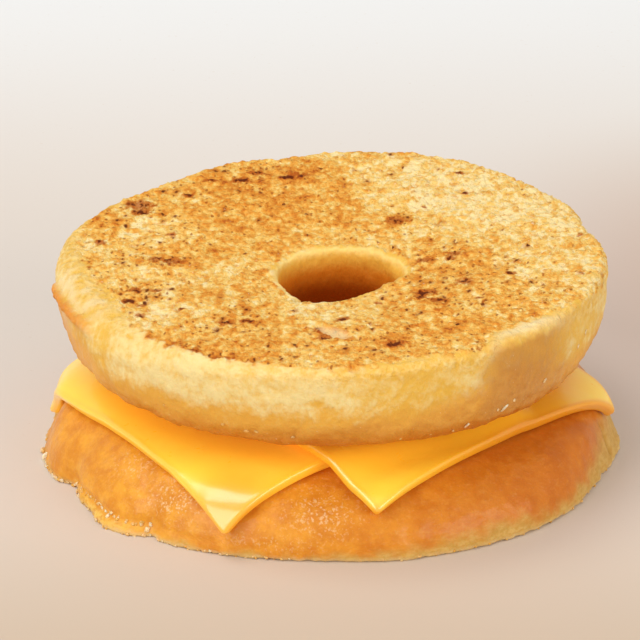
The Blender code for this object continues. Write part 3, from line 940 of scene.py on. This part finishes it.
def makeLowerHalf(material):
    look = lowerLook
    grid = ringGrid(lowerRing, lowerSection, placeLower, lowerRows)
    steps, rowCount = grid["points"].shape[:2]
    fine = fineRows(lowerRows, rowCount)[1]
    flat = grid["points"].reshape(-1, 3)
    x, y, z = (flat / mm).T
    angle = np.arctan2(flat[:, 1], flat[:, 0])
    outside = np.hypot(x, y) > 30
    free = ease((look["reliefTop"] - z) / 1.5) * outside * (z > 0.02)

    frosted = np.max([strength * hill(np.hypot(offBy(angle, where) / spread, (z - height) / tall))
                      for where, height, spread, tall, strength in look["frosted"]], axis=0)
    noises = {name: lumps(flat, *numbers) for name, numbers in look["noise"].items()}
    amount = look["relief"]
    relief = amount["dimples"] * noises["dimples"] + amount["wrinkles"] * noises["wrinkles"]
    relief += (amount["grain"] + amount["frostedGrain"] * frosted) * noises["grain"]
    # a frayed foot, and the hollow over the rim of glaze
    frayed = 1 - 0.6 * bump(angle, *look["lessFrayed"]) + bump(angle, *look["moreFrayed"])
    relief += look["frayedFoot"] * frayed * noises["frayed"] * hill(z / look["footHeight"])
    hollowHeight, hollowSpread, hollow = look["rimHollow"]
    relief -= hollow * bump(angle, *look["glazeRim"]) * hill(z, hollowHeight, hollowSpread)
    relief += bump(angle, *look["footBulge"]) * hill(z / look["bulgeHeight"])
    foldAngle, foldWidth, foldDepth = look["fold"]
    crease = bump(angle, foldAngle, foldWidth) * rise(z, 0.5, 1.5) * ease((8.5 - z) / 2)
    relief -= foldDepth * crease

    # the section runs upwards, the other way than in the upper half
    points = flat - gridNormals(grid["points"]).reshape(-1, 3) * (relief * mm * free)[:, None]
    points[:, 2] = np.maximum(points[:, 2], 0)
    paleFoot = roundTable(angle, look["paleFoot"])
    rimTop = look["rimTop"] + 0.5 * noises["rimTop"]
    marks = {
        "pale": over(paleFoot - z + 1.3 * noises["paleEdge"], 1.5 + 0.7 * paleFoot),
        "glazeRim": bump(angle, *look["glazeRim"]) * over(rimTop - z, 0.6),
        "brownness": roundTable(angle, look["brownness"]),
        "frosted": frosted,
        "crease": crease,
    }
    points, faces, marks = usedPoints(points, [face[::-1] for face in gridFaces(fine, steps)], marks)
    return makePiece("glazedLowerHalf", points, faces, marks, material)


glazedFinish = {
    # shades and layers as in griddledFinish, paler on the left and browner on the right
    "left": ("EEAA34", (0.35, 0.65, "DA8E26")),
    "right": ("D2781F", (0.35, 0.65, "C66B16")),
    "streaks": "EFAE4C",
    "speckle": (0.22, "C9721C"),
    # sugar crystals, partly painted glints
    "crystalsAndGlints": "F8DDB0",
    "pale": (0.9, "C69A48", (0.35, 0.65, "D4AE62")),
    "glazeRim": (0.8, "D89A2C", (0.35, 0.65, "F0C45E")),
    "crease": (0.6, "A8782E"),
    "frayed": (0.6, "F3D79E"),
    "bumpDepth": 0.45 * mm,
}


def glazedDough():
    look = glazedFinish
    paint = Paint("glazedDough", {
        "Subsurface Weight": 0.10,
        "Subsurface Radius": (1.0, 0.4, 0.10),
        "Subsurface Scale": 0.0015,
        "Specular IOR Level": 0.20,
        "Coat Roughness": 0.20,
    })
    mottled = paint.clouds(4.0, 4.0, 0.6, shift=3.0)
    streaks = paint.clouds(1.6, 3.0, 0.6, stretch=(1, 1, 0.5), shift=8.0)
    sparkle = paint.clouds(0.42, shift=15.0)
    speckle = paint.clouds(0.7, 3.0, 0.7, shift=27.0)
    brownness, frosted, pale = paint.mark("brownness"), paint.mark("frosted"), paint.mark("pale")
    left, right = paint.shades(mottled, *look["left"]), paint.shades(mottled, *look["right"])
    colour = paint.blend(brownness, left, right)
    streaky = paint.band(streaks, 0.52, 0.72) * (0.35 - brownness * 0.20)
    colour = paint.blend(streaky, colour, look["streaks"])
    colour = paint.lay(colour, paint.band(speckle, 0.35, 0.65), look["speckle"])
    # sugar crystals, partly painted glints: small pale grains where they catch the light
    cracked = paint.clouds(0.7, roughness=0.6, stretch=(1, 1, 1.8), shift=43.0)
    crystalsAndGlints = paint.band(cracked * 0.45 + sparkle * 0.55 + frosted * 0.05, 0.53, 0.68)
    crystalsAndGlints = crystalsAndGlints * (0.05 + frosted * 0.62)
    colour = paint.blend(crystalsAndGlints, colour, look["crystalsAndGlints"])
    grain = streaks + (speckle - 0.5) * 0.6
    colour = paint.lay(colour, pale, look["pale"], grain)
    colour = paint.lay(colour, paint.mark("glazeRim"), look["glazeRim"], grain)
    colour = paint.lay(colour, paint.mark("crease"), look["crease"])
    frayed = 1 - paint.band(paint.axis("Z") + (streaks - 0.5) * 1.6, 0.1, 1.1)
    colour = paint.lay(colour, frayed, look["frayed"])
    roughness = 0.34 + (mottled - 0.5) * 0.2 + pale * 0.2 + crystalsAndGlints * 0.2
    bumps = mottled * 0.6 + streaks * 0.25 + speckle * 0.15 + sparkle * (0.12 + frosted * 0.35)
    coat = 0.22 - pale * 0.18 - brownness * 0.15
    return paint.finish(colour, roughness, bumps, look["bumpDepth"], 0.8, coat)


# The cheese: two soft square slices laid over the lower half


def makeDrape():
    r, h = crownCurve(lowerRing, 2000)
    outer = slice(int(np.argmax(h)), None, -1)
    r = np.concatenate([[0], r[outer]])
    h = np.concatenate([[lowerRing["height"]], h[outer]])
    s = pathLengths(r, h)
    return {"r": r, "h": h, "s": s, "normalR": -np.gradient(h, s), "normalH": np.gradient(r, s)}


def draped(drape, x, y, above):
    far, angle = np.hypot(x, y), np.arctan2(y, x)
    r, h = np.interp(far, drape["s"], drape["r"]), np.interp(far, drape["s"], drape["h"])
    r, h = shapeLower(angle, r, h)
    r = r + above * np.interp(far, drape["s"], drape["normalR"])
    h = h + above * np.interp(far, drape["s"], drape["normalH"])
    h = h - cheeseSlices["sag"] * np.maximum(0.0, 1 - (far / cheeseSlices["sagRadius"]) ** 2) ** 2
    return np.stack([r * np.cos(angle), r * np.sin(angle), h], axis=1)


def curl(x, y, square):
    away = np.hypot(x - square[0], y - square[1])
    return cheeseSlices["curl"] * ease(1 - away / cheeseSlices["curlReach"])


def liftUnder(x, y):
    return cheeseSlices["gap"] + curl(x, y, cheeseSlices["under"])


def liftOver(x, y):
    # it lies on the other slice, and steps down past that one's edge
    gap = cheeseSlices["gap"]
    past = (outsideSquare(x, y, cheeseSlices["under"]) - 2 * gap) / cheeseSlices["stepWidth"]
    return gap + (cheeseSlices["thickness"] + gap) * (1 - ease(past)) + curl(x, y, cheeseSlices["over"])


def sliceGrid(side):
    # distances along one side of a slice: close together round the rim, then even
    rim = cheeseSlices["edge"] * (1 - np.cos(np.linspace(0, math.pi / 2, cheeseSlices["rimRows"] + 1)[:-1]))
    middle = np.linspace(cheeseSlices["edge"], side - cheeseSlices["edge"], cheeseSlices["segments"] + 1)
    return np.concatenate([rim, middle, side - rim[::-1]])


sliceLight = {
    # for each slice: how far it is greasy from the front corner and from the left edge, how far the painted
    # shade of the upper half reaches, from where the right side is painted dim, and how much more painted
    # glow it gets in that shade
    "under": {"corner": 8.5 * mm, "edge": 0.8 * mm, "shadeTo": 43 * mm, "dimFrom": 60 * mm, "inShade": 0.45},
    "over": {"corner": 1.0 * mm, "edge": 2.0 * mm, "shadeTo": 45 * mm, "dimFrom": 8 * mm, "inShade": 0.0},
    "shadeWidth": 6 * mm,
    "dimWidth": 14 * mm,
    # the painted dim side ends here and over this width
    "dimEnd": (36 * mm, 8 * mm),
    # painted glow: emission that stands in for light passing through the slices
    "glow": 0.5,
    "dimGlow": 0.35,
    # painted shade on the edge on the right, which gets no light from above: how wide it is, where it begins
    # and over what width
    "rightEdge": (1.6 * mm, 16 * mm, 16 * mm),
    # dull, and lit by more painted glow, where a slice closes the hole: radius and width
    "hole": (28 * mm, 10 * mm),
}


def makeSlice(name, which, lift, drape, material):
    cornerX, cornerY, turn, width, length = cheeseSlices[which]
    thick, rimRound, cornerRound = (cheeseSlices[size] for size in ("thickness", "edge", "cornerRound"))
    u, v = np.meshgrid(sliceGrid(width), sliceGrid(length), indexing="ij")
    n, m = u.shape
    fromEdge = np.minimum(np.minimum(u, width - u), np.minimum(v, length - v)).ravel()
    fromLeft = u.ravel()
    # each corner of the square is bent to a quarter circle
    sideU, sideV = u - width / 2, v - length / 2
    a = np.maximum(np.abs(sideU) - (width / 2 - cornerRound), 0)
    b = np.maximum(np.abs(sideV) - (length / 2 - cornerRound), 0)
    inCorner = (a > 0) & (b > 0)
    keep = np.where(inCorner, np.maximum(a, b) / np.maximum(np.hypot(a, b), 1e-9), 1.0)
    u = np.where(inCorner, width / 2 + np.sign(sideU) * (width / 2 - cornerRound + a * keep), u)
    v = np.where(inCorner, length / 2 + np.sign(sideV) * (length / 2 - cornerRound + b * keep), v)
    alongX, alongY = turned(u.ravel(), v.ravel(), -turn)
    x, y = cornerX + alongX, cornerY + alongY
    flat = np.stack([x, y, np.zeros(n * m)], axis=1)
    drop = rimRound - np.sqrt(np.maximum(rimRound ** 2 - np.maximum(rimRound - fromEdge, 0) ** 2, 0))
    waves = sum(depth * lumps(flat, *numbers) for depth, *numbers in cheeseSlices["waves"])
    top = draped(drape, x, y, thick - drop + lift(x, y) + waves)
    bottom = draped(drape, x, y, drop + lift(x, y))
    index = np.arange(n * m).reshape(n, m)
    cells = np.stack([index[:-1, :-1], index[1:, :-1], index[1:, 1:], index[:-1, 1:]], 2).reshape(-1, 4)
    border = np.concatenate([index[:-1, 0], index[-1, :-1], index[:0:-1, -1], index[0, :0:-1]])
    after = np.roll(border, -1)
    wall = np.stack([border, border + n * m, after + n * m, after], 1)
    faces = cells.tolist() + (cells[:, ::-1] + n * m).tolist() + wall.tolist()

    # gloss and painted light: a greasy front corner, painted shade, a painted dim right side, a painted glow
    # in the hole
    light, own = sliceLight, sliceLight[which]
    frontCorner = ease(1.5 - np.hypot(x - cornerX, y - cornerY) / own["corner"])
    shaded = ease((own["shadeTo"] - np.hypot(top[:, 0], top[:, 1])) / light["shadeWidth"])
    dim = rise(x, own["dimFrom"], light["dimWidth"]) * (1 - 0.8 * rise(x, *light["dimEnd"]))
    edgeWidth, edgeFrom, edgeFade = light["rightEdge"]
    rightEdge = ease(1 - fromEdge / edgeWidth) * rise(x, edgeFrom, edgeFade)
    radius, holeWidth = light["hole"]
    inHole = ease((radius - np.hypot(x, y)) / holeWidth)
    # painted glow: more in the painted shade, less on the dim right side and along the right edge
    glow = (light["glow"] + own["inShade"] * shaded - light["dimGlow"] * dim) * (1 - 0.7 * rightEdge)
    marks = {
        "fromEdge": fromEdge / mm,
        "frontCorner": frontCorner,
        "greasy": np.maximum(frontCorner, 1.5 * hill(fromLeft / own["edge"])) - 0.8 * inHole,
        "shaded": np.maximum(shaded, dim),
        "rightEdge": rightEdge,
        "glow": glow + (1 - glow) * 0.8 * inHole,
    }
    marks = {mark: np.tile(values, 2) for mark, values in marks.items()}
    return makePiece(name, np.concatenate([top, bottom]), faces, marks, material)


cheeseFinish = {
    "cloudy": ("FFDF4B", "FFD63D"),
    # layers, as in griddledFinish
    # painted shade: under the upper half and on the dim right side
    "shaded": (0.75, "FFB41E"),
    "frontCorner": (0.8, "F2A22C"),
    "edge": (0.4, "FFB41C"),
    # painted shade along the right edge
    "rightEdge": (0.8, "E8941C"),
    # painted glow: the emission that stands in for light passing through, from none to most
    "dark": (0.0, 0.0, 0.0, 1.0),
    "glow": (1.0, 0.50, 0.04, 1.0),
    "bumpDepth": 0.30 * mm,
}


def softCheese():
    look = cheeseFinish
    paint = Paint("softCheese", {
        "Subsurface Weight": 0.20,
        "Subsurface Radius": (1.0, 0.55, 0.12),
        "Subsurface Scale": 0.0018,
        "Specular IOR Level": 0.40,
        "Coat Roughness": 0.16,
        "Coat IOR": 1.9,
        "Emission Strength": 0.26,
    })
    cloudy = paint.clouds(7.0)
    smear = paint.clouds(2.6, 3.0, 0.55, shift=6.0)
    fine = paint.clouds(0.5, shift=12.0)
    colour = paint.blend(cloudy, *look["cloudy"])
    # painted shade under the upper half and on the dim right side, and a darker front corner
    for name in ("shaded", "frontCorner"):
        colour = paint.lay(colour, paint.mark(name), look[name])
    edge = 1 - paint.band(paint.mark("fromEdge") + (smear - 0.5) * 0.8, 0.2, 1.6)
    colour = paint.lay(colour, edge, look["edge"])
    # painted shade along the right edge
    colour = paint.lay(colour, paint.mark("rightEdge"), look["rightEdge"])
    # painted glow: emission stands in for a little light passing through the slices, brightening them under
    # the upper half, less on the right
    glow = paint.blend(paint.mark("glow"), look["dark"], look["glow"])
    paint.plug(paint.shader.inputs["Emission Color"], glow)
    roughness = 0.30 + (smear - 0.5) * 0.12 + (fine - 0.5) * 0.05
    bumps = cloudy * 0.7 + smear * 0.25
    coat = 0.28 + 0.35 * paint.mark("greasy")
    return paint.finish(colour, roughness, bumps, look["bumpDepth"], 0.5, coat)


# Loose bits: chips of glaze low on the upper half, and a crumbly fringe along the lower half's foot

looseBits = {
    # one by one: angle round the ring, height, width, length and thickness in mm, turn in degrees, paleness
    "onUpper": [(309, 22.2, 0.6, 1.8, 0.4, -30, 0.9), (300, 20.8, 0.5, 1.3, 0.3, -20, 0.8),
                (311, 23.6, 0.4, 0.7, 0.3, 10, 0.6), (307, 22.7, 0.5, 0.6, 0.3, 40, 0.6),
                (297, 20.2, 0.4, 0.7, 0.3, 0, 0.5), (320, 25.2, 0.5, 0.8, 0.3, -35, 0.6),
                (252, 22.0, 1.1, 0.6, 0.3, 15, 0.4), (254, 21.6, 0.8, 0.5, 0.3, -20, 0.4),
                (247, 22.6, 0.5, 0.6, 0.3, 0, 0.4), (262, 21.2, 0.6, 0.5, 0.3, 30, 0.4),
                (285, 20.4, 0.5, 0.4, 0.2, 0, 0.4), (332, 27.6, 0.5, 0.8, 0.3, -30, 0.6),
                (336, 28.8, 0.4, 1.0, 0.3, -25, 0.6), (233, 23.4, 0.5, 0.5, 0.3, 0, 0.3),
                (292, 20.0, 0.4, 0.4, 0.2, 0, 0.4)],
    "onFoot": [(190.5, 0.9, 1.3, 2.7, 1.0, -35, 1.0), (186, 0.6, 0.7, 0.8, 0.6, 0, 0.6),
               (231, 1.0, 0.8, 1.1, 0.6, -30, 0.6), (222, 1.8, 0.7, 0.8, 0.5, 0, 0.7),
               (206, 1.4, 0.7, 0.9, 0.6, 0, 0.6)],
    # rows: from and to in degrees, height, how many, smallest and largest size, paleness
    "rows": [(184, 209, 0.35, 50, 0.35, 0.85, 0.50), (209, 232, 2.0, 40, 0.25, 0.6, 0.42),
             (212, 232, 0.3, 18, 0.3, 0.6, 0.4), (232, 262, 0.35, 20, 0.3, 0.6, 0.45),
             (150, 183, 0.35, 18, 0.3, 0.6, 0.4), (280, 345, 0.35, 18, 0.3, 0.5, 0.2)],
    # how far each one in a row may differ from these, and the narrowest and the widest of them
    "spread": {"angle": 0.6, "height": 0.25, "turn": 40, "paleness": 0.3},
    "shape": (0.8, 1.5),
    "flatness": 0.7,
    "lumpiness": 0.55,
    # the share of its thickness that a bit stands proud
    "proud": 0.15,
    # they lie outside this radius, and are placed as if the side were at that one
    "outside": 36 * mm,
    "sideRadius": 47 * mm,
    "seed": 11,
    "shades": ("E3A53E", (0.15, 1.05, "F8EACA")),
    "bumpDepth": 0.25 * mm,
}


def outerSpots(piece):
    # the points on a piece's outer side, with their normals
    mesh = piece.data
    points, normals = np.empty(len(mesh.vertices) * 3), np.empty(len(mesh.vertices) * 3)
    mesh.vertices.foreach_get("co", points)
    mesh.vertices.foreach_get("normal", normals)
    points, normals = points.reshape(-1, 3), normals.reshape(-1, 3)
    far = np.hypot(points[:, 0], points[:, 1])
    outwards = (points[:, 0] * normals[:, 0] + points[:, 1] * normals[:, 1]) / far
    keep = (far > looseBits["outside"]) & (outwards > 0.1)
    return points[keep], normals[keep]


def nearestSpot(spots, angle, height):
    points, normals = spots
    aside = np.radians(offBy(np.arctan2(points[:, 1], points[:, 0]), angle)) * looseBits["sideRadius"]
    best = np.argmin(aside ** 2 + (points[:, 2] - height * mm) ** 2)
    return points[best], normals[best]


def makeBits(upperHalf, lowerHalf, material):
    template = bmesh.new()
    bmesh.ops.create_icosphere(template, subdivisions=3, radius=0.5)
    ball = np.array([v.co for v in template.verts])
    ballFaces = np.array([[v.index for v in f.verts] for f in template.faces])
    template.free()
    random = np.random.default_rng(looseBits["seed"])
    spread = looseBits["spread"]

    def around(middle, key):
        return middle + random.uniform(-spread[key], spread[key])

    upperSpots, footSpots = outerSpots(upperHalf), outerSpots(lowerHalf)
    bits = [(upperSpots, *bit) for bit in looseBits["onUpper"]]
    bits += [(footSpots, *bit) for bit in looseBits["onFoot"]]
    for start, end, height, count, smallest, largest, paleness in looseBits["rows"]:
        for angle in np.linspace(start, end, count):
            size = random.uniform(smallest, largest)
            bits.append((footSpots, around(angle, "angle"), around(height, "height"),
                         size * random.uniform(*looseBits["shape"]), size, size * looseBits["flatness"],
                         around(0, "turn"), around(paleness, "paleness")))
    allPoints, allFaces, paler = [], [], []
    for number, (spots, angle, height, width, length, thickness, turn, paleness) in enumerate(bits):
        spot, normal = nearestSpot(spots, angle, height)
        sideways = np.cross([0, 0, 1], normal)
        sideways /= np.linalg.norm(sideways)
        upwards = np.cross(normal, sideways)
        lumpy = 1 + looseBits["lumpiness"] * lumps(ball, 0.45, 2, number * 3.7)
        shape = ball * lumpy[:, None] * np.array([width, length, thickness])
        across, along = turned(shape[:, 0], shape[:, 1], -turn)
        points = across[:, None] * sideways + along[:, None] * upwards + shape[:, 2:] * normal
        points = spot + (points + normal * thickness * looseBits["proud"]) * mm
        points[:, 2] = np.maximum(points[:, 2], 0)
        allFaces.append(ballFaces + len(ball) * number)
        allPoints.append(points)
        paler.append(np.full(len(ball), paleness))
    points, faces = np.concatenate(allPoints), np.concatenate(allFaces).tolist()
    return makePiece("glazeCrumbs", points, faces, {"paleness": np.concatenate(paler)}, material)


def sugaryCrumb():
    paint = Paint("sugaryCrumb", {
        "Subsurface Weight": 0.25,
        "Subsurface Radius": (1.0, 0.6, 0.3),
        "Subsurface Scale": 0.0008,
        "Specular IOR Level": 0.4,
    })
    speckle = paint.clouds(0.5, shift=5.0)
    paleness = paint.mark("paleness") + (speckle - 0.5) * 0.6
    colour = paint.shades(paleness, *looseBits["shades"])
    return paint.finish(colour, 0.42, speckle, looseBits["bumpDepth"], 0.8, 0.3)


print("materials")
griddled, glazedSkin, cheese, crumbs = griddledDough(), glazedDough(), softCheese(), sugaryCrumb()

print("upper half")
upperHalf = makeUpperHalf(griddled)
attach(upperHalf, "root")
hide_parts("upper_half")

print("lower half")
lowerHalf = makeLowerHalf(glazedSkin)
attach(lowerHalf, "root")
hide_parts("lower_half")

print("cheese slices")
drape = makeDrape()
underSlice = makeSlice("underCheeseSlice", "under", liftUnder, drape, cheese)
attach(underSlice, "root")
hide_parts("under_slice")
overSlice = makeSlice("overCheeseSlice", "over", liftOver, drape, cheese)
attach(overSlice, "root")
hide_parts("over_slice")

print("loose bits")
bits = makeBits(upperHalf, lowerHalf, crumbs)
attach(bits, "root")

# Floor, camera and lights

studio = {
    # the floor is painted darker and warmer in front, as shade, and paler towards the back
    "floor": ("C8B39D", (-110, 20, "DDD4CC"), (90, 240, "EAECEE")),
    "floorGrain": (0.25, "CDB8A4"),
    "floorWidth": 6.0,
    # a painted shadow on the right: its middle, and where it starts and stops to fade, in mm
    "floorShadow": "C8B0A2",
    "floorShadowPlace": (95, 66, 10, 100),
    "distance": 1.0,
    "elevation": 25.0,
    "lens": 325.1,
    "aim": (-0.0019, 0.00877, 0.01882),
    "world": (1.0, 0.975, 0.94),
    "worldStrength": 0.54,
    "lightAim": (0, 0, 0.015),
    # azimuth (left of the camera is negative), elevation, distance, width, height, power, colour
    "lights": {
        "keyLight": (-46, 36, 2.2, 1.3, 1.5, 18.5, (1.0, 0.98, 0.93)),
        "topLight": (-104, 70, 2.2, 1.1, 1.1, 15.5, (1.0, 0.98, 0.95)),
        "fillLight": (54, 22, 2.2, 1.6, 0.9, 18.5, (1.0, 0.97, 0.91)),
        "lowLight": (-38, 10, 2.2, 2.4, 0.5, 6.0, (1.0, 0.97, 0.91)),
    },
}


def aim(thing, target):
    thing.rotation_euler = (Vector(target) - thing.location).to_track_quat("-Z", "Y").to_euler()


def makeFloor():
    paint = Paint("paleFloor", {"Specular IOR Level": 0.2})
    speckle = paint.clouds(0.8)
    across, along = paint.axis("X"), paint.axis("Y")
    colour = paint.shades(along, *studio["floor"])
    middleX, middleY, near, far = studio["floorShadowPlace"]
    away = ((across - middleX) ** 2.0 + (along - middleY) ** 2.0) ** 0.5
    # painted shadow on the right of the floor
    colour = paint.blend(1 - paint.band(away, near, far), colour, studio["floorShadow"])
    colour = paint.lay(colour, paint.band(speckle, 0.68, 0.76), studio["floorGrain"])
    material = paint.finish(colour, 0.7, speckle, 0.02 * mm, 0.3)
    mesh = bpy.data.meshes.new("floor")
    half = studio["floorWidth"] / 2
    corners = [(-half, -half, 0), (half, -half, 0), (half, half, 0), (-half, half, 0)]
    mesh.from_pydata(corners, [], [(0, 1, 2, 3)])
    mesh.materials.append(material)
    floor = bpy.data.objects.new("floor", mesh)
    bpy.context.scene.collection.objects.link(floor)
    return floor


def makeLight(name, azimuth, elevation, distance, width, height, power, colour):
    lamp = bpy.data.lights.new(name, "AREA")
    lamp.shape = "RECTANGLE"
    lamp.size, lamp.size_y = width, height
    lamp.energy = power
    lamp.color = colour
    made = bpy.data.objects.new(name, lamp)
    a, e = math.radians(azimuth), math.radians(elevation)
    towards = Vector((math.sin(a) * math.cos(e), -math.cos(a) * math.cos(e), math.sin(e)))
    made.location = towards * distance
    aim(made, studio["lightAim"])
    bpy.context.scene.collection.objects.link(made)
    return made


print("studio")
scene = bpy.context.scene
scene.view_settings.view_transform = "Standard"
makeFloor()
for name, numbers in studio["lights"].items():
    makeLight(name, *numbers)
world = bpy.data.worlds.new("softWorld")
world.use_nodes = True
world.node_tree.nodes["Background"].inputs["Color"].default_value = (*studio["world"], 1)
world.node_tree.nodes["Background"].inputs["Strength"].default_value = studio["worldStrength"]
scene.world = world

cameraData = bpy.data.cameras.new("camera")
cameraData.lens = studio["lens"]
cameraData.sensor_width = 36
camera = bpy.data.objects.new("camera", cameraData)
tilt = math.radians(studio["elevation"])
camera.location = (0, -studio["distance"] * math.cos(tilt), studio["distance"] * math.sin(tilt))
aim(camera, studio["aim"])
scene.collection.objects.link(camera)
scene.camera = camera
